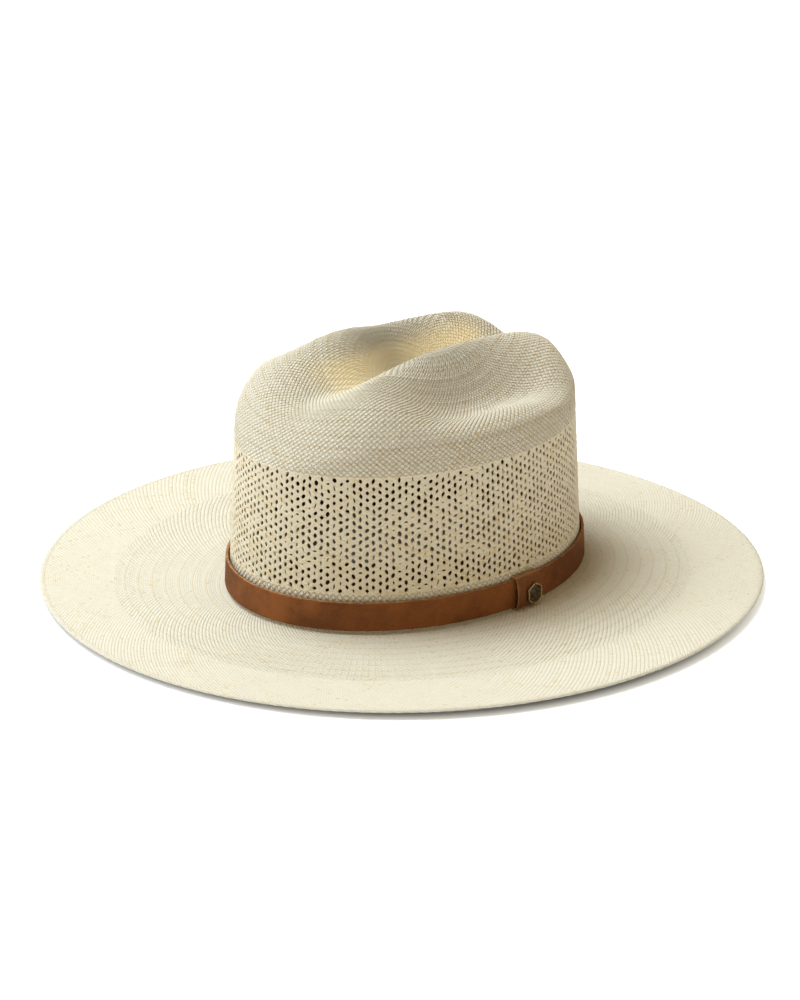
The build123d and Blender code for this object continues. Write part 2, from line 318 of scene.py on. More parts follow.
def straw_material(name, gap_strength, relief, tone_spread, warmth, ring_step=0.0, fold_bounce=0.0):
    """Woven straw; relief is a straw's height over its gap, warmth how brown all of it is, ring_step the rows
    between rings, and the last argument how strongly painted bounce light, a warm yellow and a faint
    emission, fills the tip's fold."""
    material, tree, shader = new_material(name)
    uv = tree.nodes.new("ShaderNodeUVMap")
    uv.uv_map = "weave"
    weave = tree.nodes.new("ShaderNodeGroup")
    weave.node_tree = weave_group
    tree.links.new(uv.outputs[0], weave.inputs["Map"])
    place = object_point(tree)
    drift = noise(tree, place, 22.0, 2.0)
    browner = ramp(tree, weave.outputs["Tone"], 1.0 - tone_spread, 1.12)
    browner = sum_of(tree, "ADD", browner, warmth)
    browner = sum_of(tree, "ADD", browner, ramp(tree, drift, 0.55, 1.60), clamp=True)
    colour = blend_colour(tree, browner, LIGHT_STRAW, WARM_STRAW)
    streak = sum_of(tree, "MULTIPLY", ramp(tree, weave.outputs["Fibre"], 0.50, 0.78), 0.30)
    colour = blend_colour(tree, streak, colour, WARM_STRAW)
    gap = sum_of(tree, "MULTIPLY", weave.outputs["Gap"], gap_strength)
    if ring_step:
        rows = tree.nodes.new("ShaderNodeSeparateXYZ")
        tree.links.new(uv.outputs[0], rows.inputs[0])
        turn = sum_of(tree, "FRACT", sum_of(tree, "DIVIDE", rows.outputs[1], ring_step))
        ring = ramp(tree, sum_of(tree, "ABSOLUTE", sum_of(tree, "SUBTRACT", turn, 0.5)), 0.36, 0.48)
        colour = blend_colour(tree, sum_of(tree, "MULTIPLY", ring, 0.30), colour, WARM_STRAW)
        deeper = sum_of(tree, "ADD", 0.75, sum_of(tree, "MULTIPLY", ring, 0.6))
        gap = sum_of(tree, "MULTIPLY", gap, deeper, clamp=True)
    # Partly painted shade: the gaps between straws are darkened tan, where shade falls in the recesses of the
    # weave.
    colour = blend_colour(tree, gap, colour, GAP_SHADE_STRAW)
    # Painted bounce light: the tip's fold is tinted a warm yellow and emits a little light, though the straw
    # is no lamp.
    if fold_bounce:
        part = tree.nodes.new("ShaderNodeSeparateXYZ")
        tree.links.new(place, part.inputs[0])
        inside = ramp(tree, sum_of(tree, "ABSOLUTE", part.outputs[0]), *FOLD_ASIDE)
        sunk = ramp(tree, part.outputs[2], *FOLD_DOWN)
        behind = ramp(tree, part.outputs[1], *FOLD_FRONT)
        before = ramp(tree, part.outputs[1], *FOLD_BACK)
        fold = sum_of(tree, "MULTIPLY", sum_of(tree, "MULTIPLY", inside, sunk), behind)
        fold = sum_of(tree, "MULTIPLY", fold, before)
        fold = sum_of(tree, "MULTIPLY", fold, fold_bounce)
        colour = blend_colour(tree, fold, colour, PAINTED_BOUNCE_STRAW)
        tree.links.new(colour, shader.inputs["Emission Color"])
        tree.links.new(sum_of(tree, "MULTIPLY", fold, PAINTED_FOLD_GLOW), shader.inputs["Emission Strength"])
    tree.links.new(colour, shader.inputs["Base Color"])
    shine = sum_of(tree, "ADD", 0.56, sum_of(tree, "MULTIPLY", weave.outputs["Fibre"], 0.22))
    tree.links.new(shine, shader.inputs["Roughness"])
    fibres = sum_of(tree, "MULTIPLY", weave.outputs["Fibre"], 0.16)
    fine = sum_of(tree, "ADD", weave.outputs["Height"], fibres)
    tree.links.new(bump(tree, fine, relief), shader.inputs["Normal"])
    shader.inputs["Specular IOR Level"].default_value = 0.35
    shader.inputs["Subsurface Weight"].default_value = 0.0
    return material


# The crown and the vented wall get more warmth than the brim: partly painted shade, the warm light that the
# crown's shaded walls throw on each other put into the straw's colour.
crown_straw = straw_material(
    "crown_straw", gap_strength=0.85, relief=0.00076, tone_spread=0.30, warmth=0.22,
    ring_step=2.5, fold_bounce=0.75)
vent_straw = straw_material(
    "vent_straw", gap_strength=0.30, relief=0.00016, tone_spread=0.40, warmth=0.42)
brim_straw = straw_material(
    "brim_straw", gap_strength=0.75, relief=0.00028, tone_spread=0.30, warmth=0.10)
ringed_straw = straw_material(
    "ringed_straw", gap_strength=0.75, relief=0.00048, tone_spread=0.26, warmth=0.10, ring_step=3.0)
print("straw materials made")

# %% [markdown]
# ## The hat's ovals
# The crown stands on a head oval and leans in a little as it rises. The
# band's box gives the oval at the band, and from it come the straw's own ovals.

# %% Ovals from the frame
TAPER = 0.049
BAND_THICKNESS = 0.0016
BAND_GAP = 0.0010
BRIM_TOP = 0.0018

brim_low, brim_high = (Vector(c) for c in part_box("straw_body"))
band_low, band_high = (Vector(c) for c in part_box("strap"))
oval_y = (band_low.y + band_high.y) / 2
band_half_x = (band_high.x - band_low.x) / 2
band_half_y = (band_high.y - band_low.y) / 2
wall_x = band_half_x - BAND_THICKNESS - BAND_GAP + TAPER * band_low.z
wall_y = band_half_y - BAND_THICKNESS - BAND_GAP + TAPER * band_low.z
brim_x = (brim_high.x - brim_low.x) / 2
brim_y = (brim_high.y - brim_low.y) / 2
print("straw oval at the brim", round(2 * wall_x / MM, 1), "x", round(2 * wall_y / MM, 1), "mm")


def even_turns(count, half_x, half_y):
    """Angles of an ellipse that divide it into equal lengths."""
    fine = np.linspace(0, 2 * math.pi, 7201)
    step = np.hypot(half_x * np.diff(np.cos(fine)), half_y * np.diff(np.sin(fine)))
    walked = np.concatenate([[0.0], np.cumsum(step)])
    return np.interp(np.arange(count) * walked[-1] / count, walked, fine)


def oval_ring(turns, offset, height):
    """Points on the straw's oval grown by offset, at one height."""
    grown = offset - TAPER * height
    x = (wall_x + grown) * np.cos(turns)
    y = oval_y + (wall_y + grown) * np.sin(turns)
    return np.stack([x, y, np.full_like(x, height)], axis=-1)


# %% [markdown]
# ## The creased tip
# The crown's tip is blocked over a form: a long trough down the middle, a
# ridge on each side of it, and a dent beyond each ridge. The height at any
# place is the sum of these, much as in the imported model. Hand blocking is never
# quite even, so here the lobe on the wearer's right stands a little prouder.

# %% Height of the tip
CROWN = 0.134
SHOULDER_DROP = 0.0065
SHOULDER_REACH = 0.013
FRONT_FALL = 0.0165
BACK_FALL = 0.017
RIGHT_RISE = 0.006
TROUGH_DEPTH = 0.026
DENT_DEPTH = 0.029
DENT_LIP = 0.004
END_ROUNDING = 0.014
# Below, shares of the tip's half width or half length; the front is negative.
PEAK = 0.10
FRONT_CURVE, BACK_CURVE = 2.6, 2.2
RISE_MIDDLE, RISE_SHARE = -0.30, 0.28
TROUGH_MIDDLE, TROUGH_SHARE = 0.08, 0.78
TROUGH_HALF, TROUGH_FLARE = 0.21, 0.06
DENT_MIDDLE, DENT_SHARE = 0.10, 0.62
DENT_START, DENT_RUN = 0.28, 0.46
LIP_START, LIP_RUN = 0.74, 0.22
roof_x = wall_x - TAPER * CROWN
roof_y = wall_y - TAPER * CROWN


def ease(t):
    """A soft step from 0 to 1."""
    t = np.clip(t, 0.0, 1.0)
    return t * t * (3.0 - 2.0 * t)


def tip_height(x, y):
    """Height of the creased tip over a place measured from the oval's middle."""
    across, along = np.abs(x) / roof_x, y / roof_y
    ridge = CROWN - FRONT_FALL * np.maximum(PEAK - along, 0.0) ** FRONT_CURVE
    right_side = ease(0.3 - 3.0 * x / roof_x)
    ridge = ridge + RIGHT_RISE * right_side * np.exp(-(((along - RISE_MIDDLE) / RISE_SHARE) ** 2))
    ridge = ridge - BACK_FALL * np.maximum(along - PEAK, 0.0) ** BACK_CURVE
    trough_half = TROUGH_HALF + TROUGH_FLARE * ease(-along / 0.7)
    trough_reach = np.exp(-(np.abs(along - TROUGH_MIDDLE) / TROUGH_SHARE) ** 3)
    trough = TROUGH_DEPTH * trough_reach * np.exp(-(across / trough_half) ** 2)
    reach = np.exp(-(np.abs(along - DENT_MIDDLE) / DENT_SHARE) ** 4)
    dent = DENT_DEPTH * reach * ease((across - DENT_START) / DENT_RUN)
    lip = DENT_LIP * reach * ease((across - LIP_START) / LIP_RUN)
    radius = np.hypot(across, along)
    rounding = END_ROUNDING * np.minimum(radius, 1.1) ** 6 * (1.0 - reach)
    past = np.maximum((radius - 1.0) * roof_x / SHOULDER_REACH + 1.0, 0.0)
    shoulder = SHOULDER_DROP * np.where(past < 1.0, past**2, 2.0 * past - 1.0)
    return ridge - trough - dent + lip - rounding - shoulder


WALL_POINTS = 120
ROOF_POINTS = 260
FINE_STEP = 0.0006
SOFTEN = 0.006
KEPT_AT_START = 0.008
FIRST_EDGE = 0.105


def crown_profiles(turns, start):
    """For each turn, the line up the wall from start, over the shoulder, to the tip's middle."""
    cos, sin = np.cos(turns), np.sin(turns)
    edge = np.full_like(turns, FIRST_EDGE)
    for _ in range(14):
        at_x = (wall_x - TAPER * edge) * cos
        at_y = (wall_y - TAPER * edge) * sin
        edge = 0.5 * edge + 0.5 * tip_height(at_x, at_y)
    lines = []
    for cos_t, sin_t, top in zip(cos, sin, edge):
        z = np.linspace(start, top, WALL_POINTS)
        wall = np.stack([(wall_x - TAPER * z) * cos_t, (wall_y - TAPER * z) * sin_t, z], axis=1)
        share = np.linspace(1.0, 0.0, ROOF_POINTS)[1:]
        x = (wall_x - TAPER * top) * cos_t * share
        y = (wall_y - TAPER * top) * sin_t * share
        roof = np.stack([x, y, tip_height(x, y)], axis=1)
        line = np.concatenate([wall, roof])
        walked = np.concatenate([[0], np.cumsum(np.linalg.norm(np.diff(line, axis=0), axis=1))])
        even = np.arange(0.0, walked[-1], FINE_STEP)
        line_even = np.stack([np.interp(even, walked, line[:, k]) for k in range(3)], axis=1)
        half = int(SOFTEN / FINE_STEP)
        weights = np.hanning(2 * half + 1)
        weights /= weights.sum()
        padded = np.pad(line_even, ((half, half), (0, 0)), "edge")
        soft = np.stack([np.convolve(padded[:, k], weights, "valid") for k in range(3)], axis=1)
        corner = walked[WALL_POINTS - 1]
        near = ease((2.5 * SOFTEN - np.abs(even - corner)) / SOFTEN)
        mask = (near * ease(even / KEPT_AT_START))[:, None]
        lines.append(line_even * (1 - mask) + soft * mask)
    return lines


def rows_along(lines, rows):
    """Each line resampled to the same number of evenly spaced points."""
    out = []
    for line in lines:
        walked = np.concatenate([[0], np.cumsum(np.linalg.norm(np.diff(line, axis=0), axis=1))])
        even = np.linspace(0, walked[-1], rows)
        out.append(np.stack([np.interp(even, walked, line[:, k]) for k in range(3)], axis=1))
    return np.stack(out, axis=1)


# %% [markdown]
# ## From rings of points to woven sheet
# Each straw sheet is a stack of rings with the same number of points, which
# become quads between one ring and the next. Every other point stands proud,
# so each crossing is a small pillow in the mesh itself, and the map records
# half a crossing per step. Where a ring has half as many points as the last,
# as towards the middle of the tip, five-sided faces join them. Grids like
# these are far quicker to lay out in code than with edit-mode tools, because
# there are tens of thousands of crossings.

# %% Sheet builder
def ring_normals(rings):
    """Outward normal at each point of a stack of equal rings."""
    grid = np.stack(rings)
    around = np.roll(grid, -1, axis=1) - np.roll(grid, 1, axis=1)
    up = np.gradient(grid, axis=0)
    normal = np.cross(around, up)
    return normal / (np.linalg.norm(normal, axis=2, keepdims=True) + 1e-12)


def pillow(rings, first_row, relief, rough=0.35):
    """Push every other point out and the rest in, by about half the relief."""
    normals = ring_normals(rings)
    count = rings[0].shape[0]
    columns = np.arange(count)
    out = []
    for row, (ring, normal) in enumerate(zip(rings, normals)):
        sign = np.where((columns + row + first_row) % 2 == 1, 1.0, -1.0)
        jitter = 1.0 + rough * (rng.random(count) - 0.5)
        out.append(ring + normal * (sign * jitter * relief / 2)[:, None])
    return out


class Sheet:
    """Points, faces and map of one woven sheet."""

    def __init__(self):
        self.points, self.faces, self.maps = [], [], []
        self.total = 0
        self.second_from = None

    def add_ring(self, ring):
        first = self.total
        self.points.append(ring)
        self.total += len(ring)
        return first

    def join(self, low, high, low_count, high_count, step, row):
        """Faces between two rings; step is how many first-ring columns one point spans."""
        for i in range(high_count):
            if low_count == high_count:
                nxt = (i + 1) % low_count
                self.faces.append((low + i, low + nxt, high + nxt, high + i))
                a, b = i * step / 2, (i + 1) * step / 2
                self.maps += [(a, row / 2), (b, row / 2), (b, (row + 1) / 2), (a, (row + 1) / 2)]
            else:
                j, k, m = 2 * i, 2 * i + 1, (2 * i + 2) % low_count
                nxt = (i + 1) % high_count
                self.faces.append((low + j, low + k, low + m, high + nxt, high + i))
                a, b, c = j * step / 2, k * step / 2, (k + 1) * step / 2
                top = (row + 1) / 2
                self.maps += [(a, row / 2), (b, row / 2), (c, row / 2), (c, top), (a, top)]

    def make(self, name, thickness, *materials):
        """The finished object, with its thickness inwards and smooth shading."""
        mesh = bpy.data.meshes.new(name)
        mesh.from_pydata(np.concatenate(self.points).tolist(), [], self.faces)
        layer = mesh.uv_layers.new(name="weave")
        layer.data.foreach_set("uv", np.array(self.maps, dtype=np.float32).ravel())
        piece = bpy.data.objects.new(name, mesh)
        bpy.context.collection.objects.link(piece)
        mesh.polygons.foreach_set("use_smooth", [True] * len(mesh.polygons))
        for finish in materials:
            mesh.materials.append(finish)
        if self.second_from is not None:
            for polygon in mesh.polygons[self.second_from:]:
                polygon.material_index = 1
        only(piece)
        if thickness > 0:
            wall = piece.modifiers.new("wall", "SOLIDIFY")
            wall.thickness = thickness
            wall.offset = -1.0
            apply_modifiers(piece)
        bpy.ops.object.shade_smooth_by_angle(angle=math.radians(55))
        return piece


def only(piece):
    """Make this the one selected and active object."""
    bpy.ops.object.select_all(action="DESELECT")
    piece.select_set(True)
    bpy.context.view_layer.objects.active = piece


def apply_modifiers(piece):
    """Apply every modifier of a piece, in order."""
    only(piece)
    for modifier in list(piece.modifiers):
        bpy.ops.object.modifier_apply(modifier=modifier.name)


def triangles(piece):
    """How many triangles a piece has."""
    return sum(len(p.vertices) - 2 for p in piece.data.polygons)


# %% [markdown]
# ## The vented wall
# Round the wall the straws are spread and twisted so that rows of holes let
# air through. The holes lie on a net of diamonds, one hole in each, and the
# straws cross at the corners. No two holes are quite alike: some are round,
# some are slits, and a few have closed up.

# %% Vented wall
COLUMNS = 340
VENT_PITCH = 0.00205
VENT_LOW = 0.0225
VENT_ROWS = 31
HOLE_HALF_WIDTH = 0.00106
HOLE_HALF_HEIGHT = 0.00136
CROSSING_PROUD = 0.00034
BETWEEN_PROUD = 0.00010
HOLE_SUNK = 0.00022
HOLE_STRAY = 0.0002
WOBBLE = 0.0003
WALL_START = 0.0048
WALL_THICKNESS = 0.0013
SHELL_RELIEF = 0.0006

turns = even_turns(COLUMNS, wall_x, wall_y)
COLUMN_STEP = math.pi * (wall_x + wall_y) / COLUMNS
vent_top = VENT_LOW + VENT_ROWS * VENT_PITCH


def wall_point(column, height, out=0.0):
    """A point on the wall at a whole or part column."""
    turn = np.interp(column % COLUMNS, np.arange(COLUMNS + 1), np.append(turns, 2 * math.pi))
    return oval_ring(np.array([turn]), out, height)[0]


def hole_shape():
    """Half width, half height, lean and pinch of one hole; some are slits or nearly shut."""
    half_w = HOLE_HALF_WIDTH * rng.uniform(0.74, 1.12)
    half_h = HOLE_HALF_HEIGHT * rng.uniform(0.74, 1.12)
    kind = rng.random()
    if kind < 0.10:
        half_w *= 0.45
    elif kind < 0.16:
        half_h *= 0.5
    elif kind < 0.19:
        half_w *= 0.4
        half_h *= 0.4
    return half_w, half_h, rng.uniform(-0.35, 0.35), rng.uniform(0.78, 1.0)


def build_vented_wall():
    """The upright part of the crown, with its net of holes."""
    sheet = Sheet()
    plain_rows = 10
    heights = np.linspace(WALL_START, VENT_LOW, plain_rows + 1)
    rings = [oval_ring(turns, 0.0, z) for z in heights]
    rings = pillow(rings, 0, SHELL_RELIEF)
    starts = [sheet.add_ring(ring) for ring in rings]
    for row in range(plain_rows):
        sheet.join(starts[row], starts[row + 1], COLUMNS, COLUMNS, 1, row - plain_rows)
    # The net: even columns and rows are crossings or hole middles, odd ones lie between.
    index = {}
    for i in range(COLUMNS):
        index[(i, 0)] = starts[-1] + i
    net = []
    for j in range(1, 2 * VENT_ROWS + 1):
        height = VENT_LOW + j * VENT_PITCH / 2
        last = j == 2 * VENT_ROWS
        for i in range(COLUMNS):
            crossing = i % 2 == 0 and j % 2 == 0 and (i // 2 + j // 2) % 2 == 1
            between = i % 2 == 1 and j % 2 == 1
            if not (crossing or between or last):
                continue
            proud = CROSSING_PROUD if crossing else BETWEEN_PROUD
            wobble = (rng.random(3) - 0.5) * WOBBLE
            point = wall_point(i + wobble[0] / COLUMN_STEP, height + wobble[1], proud + wobble[2] * 0.5)
            if last:
                point = wall_point(i, height, 0.0)
            index[(i, j)] = sheet.total + len(net)
            net.append(point)
    sheet.add_ring(np.array(net))
    holes = []
    hole_total = 0
    sheet.second_from = len(sheet.faces)
    first_hole = sheet.total
    for c in range(COLUMNS // 2):
        for k in range(VENT_ROWS + 1):
            if (c + k) % 2:
                continue
            i, j = 2 * c, 2 * k
            if k in (0, VENT_ROWS):
                way = 1 if k == 0 else -1
                corners = [(i - 2, j), (i - 1, j), (i, j), (i + 1, j), (i + 2, j),
                           (i + 1, j + way), (i, j + 2 * way), (i - 1, j + way)]
                if way < 0:
                    corners.reverse()
                sheet.faces.append(tuple(index[(a % COLUMNS, b)] for a, b in corners))
                sheet.maps += [(a / 2, b / 2) for a, b in corners]
                continue
            rim = [(i + 2, j), (i + 1, j + 1), (i, j + 2), (i - 1, j + 1),
                   (i - 2, j), (i - 1, j - 1), (i, j - 2), (i + 1, j - 1)]
            half_w, half_h, lean, pinch = hole_shape()
            centre_i = i + rng.uniform(-0.12, 0.12)
            centre_z = VENT_LOW + j * VENT_PITCH / 2 + rng.uniform(-HOLE_STRAY, HOLE_STRAY)
            base = first_hole + hole_total
            for n in range(8):
                angle = n * math.pi / 4
                reach = pinch if n % 2 else 1.0
                dx, dz = half_w * reach * math.cos(angle), half_h * reach * math.sin(angle)
                dx, dz = dx + lean * dz, dz
                holes.append(wall_point(centre_i + dx / COLUMN_STEP, centre_z + dz, -HOLE_SUNK))
            hole_total += 8
            for n in range(8):
                m = (n + 1) % 8
                a, b = rim[n], rim[m]
                outer_a, outer_b = index[(a[0] % COLUMNS, a[1])], index[(b[0] % COLUMNS, b[1])]
                sheet.faces.append((outer_a, outer_b, base + m, base + n))
                inner = [
                    (i / 2 + 0.3 * math.cos(t * math.pi / 4), j / 2 + 0.6 * math.sin(t * math.pi / 4))
                    for t in (m, n)]
                sheet.maps += [(a[0] / 2, a[1] / 2), (b[0] / 2, b[1] / 2), inner[0], inner[1]]
    sheet.add_ring(np.array(holes))
    piece = sheet.make("vented_wall", WALL_THICKNESS, crown_straw, vent_straw)
    print("vented wall:", hole_total // 8, "holes,", triangles(piece), "triangles")
    return piece


vented_wall = build_vented_wall()

# %% [markdown]
# ## The shoulder and the creased tip
# Above the vents the weave closes again, runs over the shoulder and across
# the creases to the middle of the tip. The tip was woven outwards from its
# middle, adding straws ring by ring, so the rings nearer the middle have
# fewer crossings, and faint ridges show where straws were added.

# %% Crown tip
TIP_ROWS = 84
HALVINGS = (46, 66, 76)
RING_EVERY = 5
RING_PROUD = 0.00022


def build_crown_tip():
    """From the top of the vents over the shoulder to the tip's middle."""
    lines = crown_profiles(turns, vent_top)
    grid = rows_along(lines, TIP_ROWS)
    grid[:, :, 1] += oval_y
    middle = grid[-1].mean(axis=0)
    rings = list(grid[:-1])
    normals = ring_normals(rings)
    for row in range(24, len(rings)):
        if row % RING_EVERY == 0:
            rings[row] = rings[row] + normals[row] * RING_PROUD
    relief = SHELL_RELIEF
    step = 1
    sheet = Sheet()
    last_start, last_count = None, None
    lifted = pillow(rings, 0, relief)
    lifted[0] = rings[0]
    for row, ring in enumerate(lifted):
        if row in HALVINGS:
            step *= 2
        base = rings[row][::step] if row else rings[row]
        count = len(base)
        if step > 1:
            sign = np.where((np.arange(count) + row) % 2 == 1, 1.0, -1.0)
            ring = base + normals[row][::step] * (sign * relief / 2)[:, None]
        start = sheet.add_ring(ring)
        if last_start is not None:
            if last_count == count:
                sheet.join(last_start, start, last_count, count, step, row - 1)
            else:
                sheet.join(last_start, start, last_count, count, step // 2, row - 1)
        last_start, last_count = start, count
    hub = sheet.add_ring(middle[None, :])
    for i in range(last_count):
        sheet.faces.append((last_start + i, last_start + (i + 1) % last_count, hub))
        a = i * step / 2
        b = a + step / 2
        sheet.maps += [(a, len(lifted) / 2), (b, len(lifted) / 2), ((a + b) / 2, (len(lifted) + 1) / 2)]
    piece = sheet.make("crown_tip", WALL_THICKNESS, crown_straw)
    print("crown tip:", triangles(piece), "triangles, middle at", round(middle[2] / MM, 1), "mm")
    return piece


crown_tip = build_crown_tip()

# %% [markdown]
# ## The brim
# The brim is woven on from the crown's foot in one flat sheet. Its inner part
# shows rings where straws were added. Its outer part is plain slanting weave,
# and its edge is turned back and woven in, which makes it double.

# %% Brim sheets
OUTER_COLUMNS = 792
INNER_COLUMNS = 540
OUTER_ROW = 0.00116
INNER_ROW = 0.00118
INNER_SHARE = 0.60
BRIM_THICKNESS = 0.0012
EDGE_WIDTH = 0.0036
SLANT = 0.03
RING_GAP = 6
RING_SWELL = 0.00015
SHEET_SUNK = 0.0002
OUTER_RELIEF = 0.00013
INNER_RELIEF = 0.00034
DISH = 0.0024
LEFT_LIFT, LEFT_TURN = 0.0016, math.radians(5)
LEFT_REACH, REACH_TURN = 0.0022, math.radians(46)
FOOT_RADIUS = 0.0030


def even_circle(count):
    """Angles that divide a full turn evenly."""
    return np.arange(count) * 2 * math.pi / count


def brim_lift(share, around):
    """The brim is a very shallow dish, lifted a little more on the wearer's left."""
    wave = 0.5 + 0.5 * np.cos(around - LEFT_TURN)
    return (DISH + LEFT_LIFT * wave**4) * share**2


def wide_left(share, around):
    """The brim's edge runs out a little further behind the wearer's left side."""
    return LEFT_REACH * share**2 * np.maximum(np.cos(around - REACH_TURN), 0.0) ** 8


def brim_ring(share, count):
    """A ring between the crown's foot, share 0, and the edge, share 1."""
    slant = SLANT * max(share - INNER_SHARE, 0.0) / (1 - INNER_SHARE)
    around = even_circle(count) + slant
    foot_x, foot_y = wall_x + FOOT_RADIUS, wall_y + FOOT_RADIUS
    wide = wide_left(share, around)
    x = (foot_x + (brim_x - foot_x) * share + wide) * np.cos(around)
    y = (foot_y + (brim_y - foot_y) * share + wide) * np.sin(around) + oval_y * (1 - share)
    z = BRIM_TOP - SHEET_SUNK + brim_lift(share, around)
    return np.stack([x, y, z], axis=1)


def build_brim():
    """The outer plain weave and the inner ringed weave, joined at INNER_SHARE."""
    width = (brim_x + brim_y) / 2 - (wall_x + wall_y) / 2 - FOOT_RADIUS
    edge_share = 1 - 0.6 * EDGE_WIDTH / width
    outer_rows = int((edge_share - INNER_SHARE) * width / OUTER_ROW)
    inner_rows = int(INNER_SHARE * width / INNER_ROW)
    outer_shares = np.linspace(edge_share, INNER_SHARE, outer_rows + 1)
    inner_shares = np.linspace(INNER_SHARE, 0.0, inner_rows + 1)
    outer = [brim_ring(s, OUTER_COLUMNS) for s in outer_shares]
    inner = [brim_ring(s, INNER_COLUMNS) for s in inner_shares]
    for row in range(1, len(inner)):
        inner[row][:, 2] += RING_SWELL * math.cos(2 * math.pi * row / RING_GAP)
    for part in range(1, 6):
        bend = part / 5 * math.pi / 2
        low = oval_ring(even_circle(INNER_COLUMNS), FOOT_RADIUS * (1 - math.sin(bend)), 0.0)
        low[:, 2] = BRIM_TOP - SHEET_SUNK + FOOT_RADIUS * (1 - math.cos(bend))
        inner.append(low)
    pieces = []
    for name, rings, first, relief in (
        ("brim_outer", outer, 0, OUTER_RELIEF),
        ("brim_inner", inner, outer_rows, INNER_RELIEF),
    ):
        lifted = pillow(rings, first, relief)
        joint = rings[-1] if name == "brim_outer" else rings[0]
        if name == "brim_outer":
            lifted[-1] = joint
        else:
            lifted[0] = joint
        sheet = Sheet()
        count = len(rings[0])
        starts = [sheet.add_ring(ring) for ring in lifted]
        for row in range(len(starts) - 1):
            sheet.join(starts[row], starts[row + 1], count, count, 1, first + row)
        piece = sheet.make(name, BRIM_THICKNESS, brim_straw if name == "brim_outer" else ringed_straw)
        print(name, triangles(piece), "triangles")
        pieces.append(piece)
    return pieces


brim_outer, brim_inner = build_brim()


# %% Turned edge
EDGE_COLUMNS = 1170
EDGE_SIDES = 12
EDGE_HALF_HEIGHT = 0.00084
EDGE_STRAW = 0.00010
EDGE_SUNK = 0.0009


def build_edge():
    """A flattened bead round the brim whose straws slant over it."""
    around = even_circle(EDGE_COLUMNS)
    lift = brim_lift(1.0, around) * 0.96
    rings = []
    for k in reversed(range(EDGE_SIDES)):
        angle = 2 * math.pi * k / EDGE_SIDES
        slant = np.sin(2 * math.pi * np.arange(EDGE_COLUMNS) / 6 + 2 * angle)
        out = 0.5 * EDGE_WIDTH * math.cos(angle) + EDGE_STRAW * slant * math.cos(angle)
        up = (EDGE_HALF_HEIGHT + EDGE_STRAW * slant) * math.sin(angle)
        reach = out - 0.5 * EDGE_WIDTH + wide_left(1.0, around)
        rings.append(np.stack([
            (brim_x + reach) * np.cos(around),
            (brim_y + reach) * np.sin(around),
            BRIM_TOP - EDGE_SUNK + up + lift,
        ], axis=1))
    sheet = Sheet()
    starts = [sheet.add_ring(ring) for ring in rings]
    for row in range(EDGE_SIDES):
        sheet.join(starts[row], starts[(row + 1) % EDGE_SIDES], EDGE_COLUMNS, EDGE_COLUMNS, 1, row)
    piece = sheet.make("brim_edge", 0.0, brim_straw)
    print("brim edge:", triangles(piece), "triangles")
    return piece


brim_edge = build_edge()
for part in (vented_wall, crown_tip, brim_outer, brim_inner, brim_edge):
    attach(part, "hat")
    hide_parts("straw_body")

# %% [markdown]
# ## Leather
# The hatband is nubuck: leather sanded to a short nap, so its colour is cloudy
# and its cut edges are paler and rougher. The sweatband is smooth and darker.
# Both need the same cloudy grain, so it is one shared group. A second group
# finds the cut edges of a band by its height, where rubbing wears it pale.

# %% Grain and edge groups
def make_grain_group():
    """Clouds, nap and pores of leather from a place in metres."""
    group, entry, leave = new_group(
        "leather_grain",
        [("Place", "NodeSocketVector", None)],
        [("Clouds", "NodeSocketFloat"), ("Nap", "NodeSocketFloat"), ("Pores", "NodeSocketFloat")],
    )
    place = entry.outputs["Place"]
    clouds = noise(group, place, 38.0, 4.0, 0.6)
    nap = noise(group, place, 1900.0, 3.0, 0.7)
    pores = group.nodes.new("ShaderNodeTexVoronoi")
    pores.inputs["Scale"].default_value = 1300.0
    group.links.new(place, pores.inputs["Vector"])
    group.links.new(clouds, leave.inputs["Clouds"])
    group.links.new(nap, leave.inputs["Nap"])
    group.links.new(pores.outputs["Distance"], leave.inputs["Pores"])
    return group


def make_edge_group():
    """1 near either height, fading unevenly, for rubbed edges."""
    group, entry, leave = new_group(
        "worn_edges",
        [("Place", "NodeSocketVector", None), ("Low", "NodeSocketFloat", 0.0),
         ("High", "NodeSocketFloat", 1.0), ("Reach", "NodeSocketFloat", 0.001)],
        [("Wear", "NodeSocketFloat")],
    )
    split = group.nodes.new("ShaderNodeSeparateXYZ")
    group.links.new(entry.outputs["Place"], split.inputs[0])
    z = split.outputs[2]
    ragged = sum_of(group, "MULTIPLY", noise(group, entry.outputs["Place"], 420.0, 3.0), 0.0011)
    z_low = sum_of(group, "SUBTRACT", z, ragged)
    z_high = sum_of(group, "ADD", z, ragged)
    reach = entry.outputs["Reach"]
    near_low = ramp(group, z_low, sum_of(group, "ADD", entry.outputs["Low"], reach), entry.outputs["Low"])
    high_start = sum_of(group, "SUBTRACT", entry.outputs["High"], reach)
    near_high = ramp(group, z_high, high_start, entry.outputs["High"])
    group.links.new(sum_of(group, "MAXIMUM", near_low, near_high), leave.inputs["Wear"])
    return group


grain_group, edge_group = make_grain_group(), make_edge_group()


